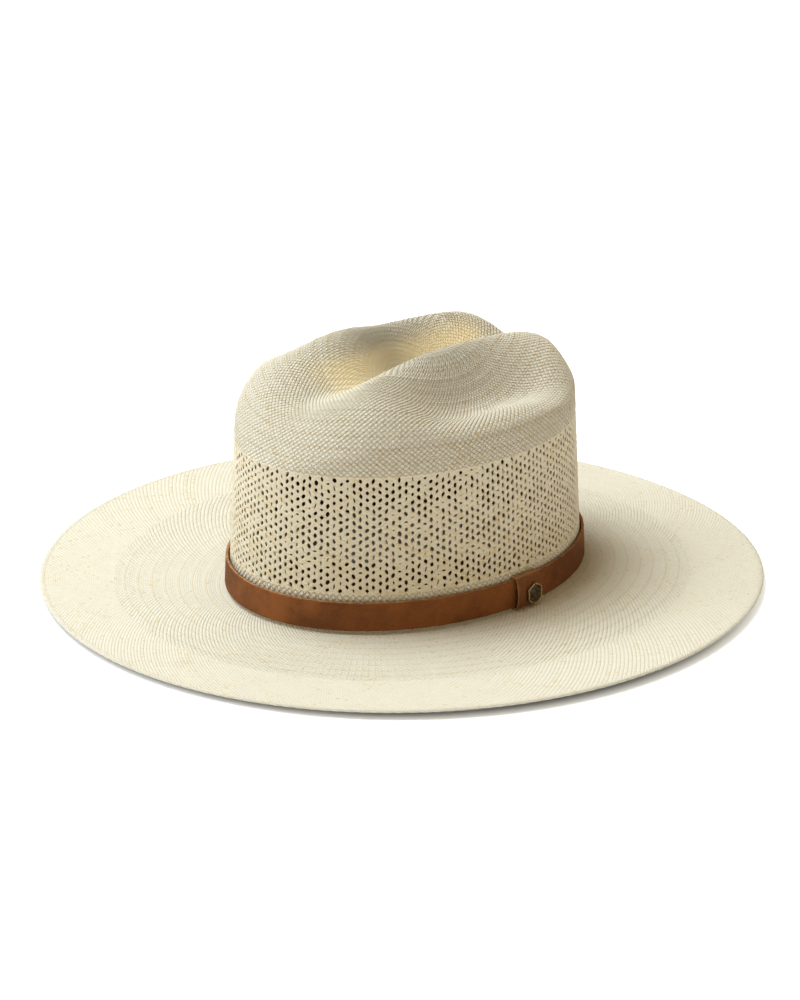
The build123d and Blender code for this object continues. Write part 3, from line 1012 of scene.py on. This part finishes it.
# %% Leather materials
def leather_material(name, dark, light, worn, low, high, rough, nap_height):
    """Leather with cloudy colour, a nap or grain, and paler cut edges between two heights."""
    material, tree, shader = new_material(name)
    place = object_point(tree)
    grain = tree.nodes.new("ShaderNodeGroup")
    grain.node_tree = grain_group
    tree.links.new(place, grain.inputs["Place"])
    edges = tree.nodes.new("ShaderNodeGroup")
    edges.node_tree = edge_group
    tree.links.new(place, edges.inputs["Place"])
    edges.inputs["Low"].default_value = low
    edges.inputs["High"].default_value = high
    edges.inputs["Reach"].default_value = 0.0006
    colour = blend_colour(tree, ramp(tree, grain.outputs["Clouds"], 0.30, 0.72), dark, light)
    speck = sum_of(tree, "MULTIPLY", ramp(tree, grain.outputs["Nap"], 0.48, 0.70), 0.55)
    colour = blend_colour(tree, speck, colour, light)
    pit = sum_of(tree, "MULTIPLY", ramp(tree, grain.outputs["Pores"], 0.30, 0.08), 0.45)
    colour = blend_colour(tree, pit, colour, dark)
    wear = sum_of(tree, "MULTIPLY", edges.outputs["Wear"], 0.85)
    colour = blend_colour(tree, wear, colour, worn)
    tree.links.new(colour, shader.inputs["Base Color"])
    roughness = sum_of(tree, "ADD", rough, sum_of(tree, "MULTIPLY", grain.outputs["Clouds"], 0.15))
    tree.links.new(roughness, shader.inputs["Roughness"])
    height = sum_of(tree, "ADD", grain.outputs["Nap"], sum_of(tree, "MULTIPLY", grain.outputs["Pores"], 0.6))
    tree.links.new(bump(tree, height, nap_height), shader.inputs["Normal"])
    shader.inputs["Specular IOR Level"].default_value = 0.16
    return material


def add_sheen(material, weight, rough=0.5, tint=(1.0, 1.0, 1.0)):
    """The pale bloom that a nap shows at a glancing angle."""
    shader = material.node_tree.nodes["Principled BSDF"]
    shader.inputs["Sheen Weight"].default_value = weight
    shader.inputs["Sheen Roughness"].default_value = rough
    shader.inputs["Sheen Tint"].default_value = (*tint, 1.0)


nubuck = leather_material(
    "nubuck", (0.130, 0.044, 0.013), (0.290, 0.102, 0.029), (0.48, 0.26, 0.12),
    band_low.z, band_high.z, 0.82, 0.00055)
add_sheen(nubuck, 0.07, 0.45, (0.85, 0.55, 0.36))
keeper_low, keeper_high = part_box("keeper")
tab_leather = leather_material(
    "tab_leather", (0.115, 0.040, 0.012), (0.220, 0.078, 0.024), (0.36, 0.19, 0.080),
    keeper_low.z, keeper_high.z, 0.80, 0.00030)
add_sheen(tab_leather, 0.05)
cut_leather = leather_material(
    "cut_leather", (0.20, 0.095, 0.040), (0.36, 0.20, 0.095), (0.36, 0.20, 0.095),
    keeper_low.z, keeper_high.z, 0.85, 0.00030)
sweat_low, sweat_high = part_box("sweatband")
sweat_leather = leather_material(
    "sweat_leather", (0.075, 0.035, 0.018), (0.120, 0.058, 0.030), (0.16, 0.09, 0.05),
    sweat_low.z, sweat_high.z, 0.42, 0.00008)

# %% [markdown]
# ## The hatband
# The band is one strip of nubuck round the crown's foot. A cylinder without
# ends gives the strip, resized in edit mode to the head's oval and leaned in
# at the top like the crown. Solidify gives it the leather's thickness and a
# bevel softens the cut edges. The sweatband is made in the same way.

# %% Selection helpers
def choose(piece, kind, test):
    """Select only the vertices, edges or faces that pass a test, and stay in edit mode."""
    if piece.mode != "EDIT":
        bpy.ops.object.mode_set(mode="EDIT")
    bpy.ops.mesh.select_mode(type=kind)
    bpy.ops.mesh.select_all(action="DESELECT")
    bpy.ops.object.mode_set(mode="OBJECT")
    parts = {"VERT": piece.data.vertices, "EDGE": piece.data.edges, "FACE": piece.data.polygons}[kind]
    for part in parts:
        part.select = test(part)
    bpy.ops.object.mode_set(mode="EDIT")


def edge_span(piece, edge, axis):
    """How far an edge runs along an axis."""
    first, second = (piece.data.vertices[v].co for v in edge.vertices)
    return abs(first[axis] - second[axis])


# %% Bands of leather
def oval_band(name, outer, low, high, thickness, softness, material, rings=6):
    """A leather strip round the oval: outer is how far its face is outside the straw."""
    bpy.ops.object.select_all(action="DESELECT")
    bpy.ops.mesh.primitive_cylinder_add(
        vertices=360, radius=1.0, depth=high - low, end_fill_type="NOTHING",
        location=(0, oval_y, (low + high) / 2))
    piece = bpy.context.active_object
    piece.name = name
    bpy.ops.object.transform_apply(location=True, rotation=True, scale=True)
    middle = (0, oval_y, 0)
    bpy.ops.object.mode_set(mode="EDIT")
    bpy.ops.mesh.select_all(action="SELECT")
    foot_x = wall_x + outer - TAPER * low
    foot_y = wall_y + outer - TAPER * low
    bpy.ops.transform.resize(value=(foot_x, foot_y, 1.0), center_override=middle)
    choose(piece, "VERT", lambda vertex: vertex.co.z > (low + high) / 2)
    lean = TAPER * (high - low)
    bpy.ops.transform.resize(
        value=((foot_x - lean) / foot_x, (foot_y - lean) / foot_y, 1.0), center_override=middle)
    choose(piece, "EDGE", lambda edge: edge_span(piece, edge, 2) > 0.5 * (high - low))
    bpy.ops.mesh.subdivide(number_cuts=rings)
    bpy.ops.mesh.select_mode(type="VERT")
    bpy.ops.mesh.select_all(action="SELECT")
    bpy.ops.transform.vertex_random(offset=0.00007, uniform=0.4, normal=0.6, seed=3)
    bpy.ops.mesh.vertices_smooth(factor=0.5, repeat=2)
    bpy.ops.object.mode_set(mode="OBJECT")
    leather = piece.modifiers.new("leather", "SOLIDIFY")
    leather.thickness = thickness
    leather.offset = -1.0
    soft = piece.modifiers.new("soft_edges", "BEVEL")
    soft.width = softness
    soft.segments = 3
    soft.limit_method = "ANGLE"
    soft.angle_limit = math.radians(50)
    apply_modifiers(piece)
    bpy.ops.object.shade_smooth_by_angle(angle=math.radians(50))
    piece.data.materials.clear()
    piece.data.materials.append(material)
    print(name, triangles(piece), "triangles")
    return piece


hatband = oval_band("hatband_strip", BAND_GAP + BAND_THICKNESS, band_low.z, band_high.z,
                    BAND_THICKNESS, 0.00045, nubuck)
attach(hatband, "hatband")
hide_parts("strap")

sweat_out = (sweat_high.x - sweat_low.x) / 2 - wall_x + TAPER * sweat_low.z
sweat_piece = oval_band("sweatband_leather", sweat_out, sweat_low.z, sweat_high.z,
                        0.0012, 0.00040, sweat_leather, rings=10)
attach(sweat_piece, "hat")
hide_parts("sweatband")

# %% [markdown]
# ## The keeper
# A short tab of the same leather is wrapped round the place where the band's
# ends lap. It is a box with its two ends open, its long edges rounded, given
# the leather's thickness. Its front end bellies out a little, as the tab's
# free edge stands off the band, and its cut edges show paler leather.

# %% Places on the wall
def wall_frame(turn, offset, height):
    """A matrix on the wall: X runs round the hat towards the back, Y up, Z straight out."""
    half_x, half_y = wall_x + offset - TAPER * height, wall_y + offset - TAPER * height
    centre = Vector((half_x * math.cos(turn), oval_y + half_y * math.sin(turn), height))
    out = Vector((half_y * math.cos(turn), half_x * math.sin(turn), 0.0)).normalized()
    round_hat = Vector((-out.y, out.x, 0.0))
    out = (out + Vector((0, 0, TAPER))).normalized()
    up = out.cross(round_hat)
    place = Matrix((round_hat, up, out)).transposed().to_4x4()
    place.translation = centre
    return place


cap_low, cap_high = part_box("stud_cap")
stud_height = (cap_low.z + cap_high.z) / 2
stud_turn = math.asin((0.5 * (cap_low.y + cap_high.y) - oval_y) / (wall_y + 0.003))
keeper_middle_z = (keeper_low.z + keeper_high.z) / 2
keeper_turn = math.asin((0.5 * (keeper_low.y + keeper_high.y) - oval_y) / (wall_y + 0.003))
print("stud at", round(math.degrees(stud_turn), 1), "degrees, height", round(stud_height / MM, 1), "mm")


# %% Keeper
KEEPER_BELLY = 0.0017
KEEPER_ROOM = 0.0026
KEEPER_CORNER = 0.0019
KEEPER_LEATHER = 0.0011
KEEPER_SHIFT = 0.0003
CUT_EDGE = 0.00022


def build_keeper():
    """The tab that wraps the band's lap."""
    length = keeper_high.y - keeper_low.y
    height = keeper_high.z - keeper_low.z
    depth = BAND_THICKNESS + KEEPER_ROOM
    bpy.ops.object.select_all(action="DESELECT")
    bpy.ops.mesh.primitive_cube_add(size=1.0, location=(0, 0, 0))
    piece = bpy.context.active_object
    piece.name = "keeper_tab"
    bpy.ops.object.mode_set(mode="EDIT")
    bpy.ops.transform.resize(value=(length, height, depth), center_override=(0, 0, 0))
    choose(piece, "FACE", lambda face: abs(face.normal.x) > 0.9)
    bpy.ops.mesh.delete(type="FACE")
    choose(piece, "EDGE", lambda edge: edge_span(piece, edge, 0) > 0.5 * length)
    bpy.ops.mesh.bevel(offset=KEEPER_CORNER, segments=6, affect="EDGES")
    choose(piece, "EDGE", lambda edge: edge_span(piece, edge, 0) > 0.5 * length)
    bpy.ops.mesh.subdivide(number_cuts=15)
    choose(piece, "EDGE", lambda edge: edge_span(piece, edge, 1) > 0.5 * height)
    bpy.ops.mesh.subdivide(number_cuts=11)
    bpy.ops.object.mode_set(mode="OBJECT")
    for vertex in piece.data.vertices:
        mouth = ease((-vertex.co.x / length - 0.02) / 0.45)
        belly = max(1.0 - (2.0 * vertex.co.y / height) ** 2, 0.0)
        if vertex.co.z > 0:
            vertex.co.z += KEEPER_BELLY * mouth * belly
    leather = piece.modifiers.new("leather", "SOLIDIFY")
    leather.thickness = KEEPER_LEATHER
    leather.offset = -1.0
    soft = piece.modifiers.new("soft_edges", "BEVEL")
    soft.width = CUT_EDGE
    soft.segments = 2
    soft.limit_method = "ANGLE"
    soft.angle_limit = math.radians(50)
    apply_modifiers(piece)
    piece.data.materials.append(tab_leather)
    piece.data.materials.append(cut_leather)
    for polygon in piece.data.polygons:
        polygon.material_index = 1 if abs(polygon.normal.x) > 0.8 else 0
    middle = BAND_GAP + 0.5 * BAND_THICKNESS + KEEPER_SHIFT
    piece.matrix_world = wall_frame(keeper_turn, middle, keeper_middle_z)
    only(piece)
    bpy.ops.object.transform_apply(location=True, rotation=True, scale=True)
    bpy.ops.object.shade_smooth_by_angle(angle=math.radians(45))
    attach(piece, "hatband")
    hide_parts("keeper")
    return piece


keeper_tab = build_keeper()
print("keeper", triangles(keeper_tab), "triangles")

# %% [markdown]
# ## The stud
# A six-sided cap of antique brass. The blackening stays in the sunk field and
# is rubbed off the raised rim, so the rim has a brighter finish of its own.
# A six-sided cylinder is inset and pushed in for the field, raised again in the
# middle as a plain step, then bevelled.

# %% Brass materials
def brass_material(name, bright, dull, patina, rough):
    """Antique brass, cloudy between two colours."""
    material, tree, shader = new_material(name)
    place = object_point(tree)
    cloudy = ramp(tree, noise(tree, place, 520.0, 4.0, 0.65), patina, patina + 0.22)
    tree.links.new(blend_colour(tree, cloudy, bright, dull), shader.inputs["Base Color"])
    roughness = sum_of(tree, "ADD", rough, sum_of(tree, "MULTIPLY", cloudy, 0.22))
    tree.links.new(roughness, shader.inputs["Roughness"])
    tree.links.new(bump(tree, noise(tree, place, 1600.0, 3.0, 0.6), 0.000025), shader.inputs["Normal"])
    shader.inputs["Metallic"].default_value = 1.0
    return material


rim_brass = brass_material("rim_brass", (0.50, 0.38, 0.18), (0.20, 0.140, 0.070), 0.46, 0.26)
field_brass = brass_material("field_brass", (0.17, 0.13, 0.08), (0.07, 0.055, 0.038), 0.36, 0.42)


# %% Stud cap
STUD_DEPTH = 0.0018
STUD_OUT = 0.0014
RIM_WIDTH = 0.0007
FIELD_SLOPE, FIELD_SUNK = 0.0003, 0.00075
FIELD_WIDTH = 0.0015
STEP_SLOPE, STEP_RAISED = 0.0006, 0.00022
STUD_BEVEL = 0.00014


def build_stud():
    """The six-sided cap on the keeper."""
    corner = 0.5 * (cap_high.z - cap_low.z)
    bpy.ops.object.select_all(action="DESELECT")
    bpy.ops.mesh.primitive_cylinder_add(
        vertices=6, radius=corner, depth=STUD_DEPTH, location=(0, 0, STUD_DEPTH / 2))
    piece = bpy.context.active_object
    piece.name = "stud_head"
    bpy.ops.object.transform_apply(location=True, rotation=True, scale=True)
    choose(piece, "FACE", lambda face: face.normal.z > 0.9)
    bpy.ops.mesh.inset(thickness=RIM_WIDTH, depth=0.0)
    bpy.ops.mesh.inset(thickness=FIELD_SLOPE, depth=-FIELD_SUNK)
    bpy.ops.mesh.inset(thickness=FIELD_WIDTH, depth=0.0)
    bpy.ops.mesh.inset(thickness=STEP_SLOPE, depth=STEP_RAISED)
    bpy.ops.object.mode_set(mode="OBJECT")
    soft = piece.modifiers.new("soft_edges", "BEVEL")
    soft.width = STUD_BEVEL
    soft.segments = 3
    soft.limit_method = "ANGLE"
    soft.angle_limit = math.radians(25)
    apply_modifiers(piece)
    bpy.ops.object.shade_smooth_by_angle(angle=math.radians(35))
    piece.data.materials.append(rim_brass)
    piece.data.materials.append(field_brass)
    for polygon in piece.data.polygons:
        centre = polygon.center
        reach = max(
            abs(centre.x * math.cos(math.radians(side)) + centre.y * math.sin(math.radians(side)))
            for side in (30, 90, 150))
        inside = reach < corner * math.cos(math.radians(30)) - RIM_WIDTH - 0.0002
        sunk = 0.0003 < centre.z < STUD_DEPTH - 0.0002
        polygon.material_index = 1 if inside and sunk else 0
    piece.matrix_world = wall_frame(stud_turn, BAND_GAP + BAND_THICKNESS + STUD_OUT, stud_height)
    only(piece)
    bpy.ops.object.transform_apply(location=True, rotation=True, scale=True)
    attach(piece, "hatband")
    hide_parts("stud_cap")
    return piece


stud_head = build_stud()
print("stud", triangles(stud_head), "triangles")

# %% [markdown]
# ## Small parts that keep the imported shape
# The screw post, the reed, its tape and the sewing already have their true
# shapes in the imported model. They only need finishes: dull brass, a smooth
# cord, woven tape and waxed thread.

# %% Finishes for the small parts
def cloth_material(name, dark, light, across, rough, height):
    """Close woven tape or ribbon: fine ribs across the light."""
    material, tree, shader = new_material(name)
    place = object_point(tree)
    ribs = tree.nodes.new("ShaderNodeTexWave")
    ribs.bands_direction = "Z"
    ribs.inputs["Scale"].default_value = across
    ribs.inputs["Distortion"].default_value = 1.2
    tree.links.new(place, ribs.inputs["Vector"])
    fuzz = noise(tree, place, 900.0, 3.0)
    mixed = sum_of(tree, "MULTIPLY", sum_of(tree, "ADD", ribs.outputs["Fac"], fuzz), 0.5)
    tree.links.new(blend_colour(tree, mixed, dark, light), shader.inputs["Base Color"])
    roughness = sum_of(tree, "ADD", rough, sum_of(tree, "MULTIPLY", fuzz, 0.2))
    tree.links.new(roughness, shader.inputs["Roughness"])
    tree.links.new(bump(tree, mixed, height), shader.inputs["Normal"])
    return material


small_finishes = {
    "stud_post": rim_brass,
    "sweatband_reed": cloth_material(
        "reed_cord", (0.55, 0.50, 0.40), (0.72, 0.67, 0.55), 260.0, 0.5, 0.00005),
    "reed_tape": cloth_material(
        "woven_tape", (0.62, 0.57, 0.45), (0.80, 0.75, 0.63), 420.0, 0.75, 0.00012),
    "sweatband_stitches": cloth_material(
        "waxed_thread", (0.60, 0.52, 0.38), (0.82, 0.75, 0.60), 900.0, 0.5, 0.00010),
    "seam_stitches": cloth_material(
        "seam_thread", (0.30, 0.20, 0.12), (0.45, 0.32, 0.20), 900.0, 0.5, 0.00010),
}
for node_name, finish in small_finishes.items():
    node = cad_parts[node_name]
    node.data.materials.clear()
    node.data.materials.append(finish)
print("finished", len(small_finishes), "small parts")

# %% [markdown]
# ## The bow
# A small ribbon bow covers the sweatband's joint. Each half is a flat tube of
# ribbon, open above and below, pinched at the middle and folded round at its
# outer end. A second, shorter box makes the knot.

# %% Ribbon bow
RIBBON = 0.00030
BOW_WAIST = 0.30
satin_ribbon = cloth_material("satin_ribbon", (0.10, 0.055, 0.035), (0.18, 0.10, 0.065), 500.0, 0.35, 0.00006)


def build_bow():
    """Two pinched ribbon loops and a knot."""
    low, high = (Vector(c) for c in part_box("seam_bow"))
    middle = (low + high) / 2
    half, deep, tall = (high.x - low.x) / 2, high.y - low.y, high.z - low.z
    bpy.ops.object.select_all(action="DESELECT")
    bpy.ops.mesh.primitive_cube_add(size=1.0, location=(0, 0, 0))
    piece = bpy.context.active_object
    piece.name = "ribbon_bow"
    bpy.ops.object.mode_set(mode="EDIT")
    bpy.ops.mesh.select_all(action="SELECT")
    bpy.ops.transform.resize(value=(half, 0.7 * deep, tall), center_override=(0, 0, 0))
    bpy.ops.transform.translate(value=(0.5 * half, 0, 0))
    choose(piece, "FACE", lambda face: abs(face.normal.z) > 0.9 or face.normal.x < -0.9)
    bpy.ops.mesh.delete(type="FACE")
    choose(piece, "EDGE", lambda edge: edge_span(piece, edge, 2) > 0.5 * tall
           and piece.data.vertices[edge.vertices[0]].co.x > 0.9 * half)
    bpy.ops.mesh.bevel(offset=0.3 * deep, segments=5, affect="EDGES")
    bpy.ops.mesh.select_all(action="SELECT")
    bpy.ops.mesh.subdivide(number_cuts=7)
    bpy.ops.object.mode_set(mode="OBJECT")
    for vertex in piece.data.vertices:
        out = ease(vertex.co.x / (0.8 * half))
        pleat = 0.10 * deep * (1 - out) * math.cos(3 * math.pi * vertex.co.z / tall)
        vertex.co.z *= BOW_WAIST + (1 - BOW_WAIST) * out
        vertex.co.y = vertex.co.y * (0.45 + 0.55 * out) + pleat
    both = piece.modifiers.new("both_halves", "MIRROR")
    both.use_axis[0] = True
    cloth = piece.modifiers.new("cloth", "SOLIDIFY")
    cloth.thickness = RIBBON
    apply_modifiers(piece)
    bpy.ops.object.select_all(action="DESELECT")
    bpy.ops.mesh.primitive_cube_add(size=1.0, location=(0, 0, 0))
    knot = bpy.context.active_object
    knot.scale = (0.16 * half, 0.95 * deep, 0.48 * tall)
    bpy.ops.object.transform_apply(location=False, rotation=False, scale=True)
    rolled = knot.modifiers.new("rolled", "BEVEL")
    rolled.width = 0.0003
    rolled.segments = 4
    apply_modifiers(knot)
    bpy.ops.object.select_all(action="DESELECT")
    knot.select_set(True)
    piece.select_set(True)
    bpy.context.view_layer.objects.active = piece
    bpy.ops.object.join()
    piece.location = middle
    bpy.ops.object.transform_apply(location=True, rotation=True, scale=True)
    bpy.ops.object.shade_smooth_by_angle(angle=math.radians(50))
    piece.data.materials.append(satin_ribbon)
    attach(piece, "hat")
    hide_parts("seam_bow")
    return piece


ribbon_bow = build_bow()
print("bow", triangles(ribbon_bow), "triangles")

# %% [markdown]
# A wide pale table stands for the studio sweep. Its colour carries painted light: it glows everywhere past
# the brim's edge, though it is no lamp, so that it stays white to the horizon, and where the glow stops under
# and just round the brim a painted shadow rims the hat.

# %% Floor
bpy.ops.object.select_all(action="DESELECT")
bpy.ops.mesh.primitive_plane_add(size=30.0, location=(0, 0, -0.0001))
floor = bpy.context.active_object
floor.name = "floor"
floor_paint, floor_tree, floor_shader = new_material("floor_paint")
# The dim bluish base colour shows only under and near the hat, where there is no glow: it tints the painted
# shadow grey-blue.
floor_shader.inputs["Base Color"].default_value = (0.60, 0.65, 0.73, 1.0)
away = floor_tree.nodes.new("ShaderNodeVectorMath")
away.operation = "LENGTH"
floor_tree.links.new(object_point(floor_tree), away.inputs[0])
# Painted light and shadow: the glow rises over a few millimetres about the brim's edge, so the floor stays
# dark round the hat as a painted shadow and emits light beyond it.
past_brim = ramp(floor_tree, away.outputs["Value"], 0.186, 0.201)
glow = blend_colour(floor_tree, past_brim, (0.0, 0.0, 0.0), (0.70, 0.67, 0.62))
floor_tree.links.new(glow, floor_shader.inputs["Emission Color"])
floor_shader.inputs["Emission Strength"].default_value = 1.0
floor_shader.inputs["Roughness"].default_value = 0.9
floor.data.materials.append(floor_paint)
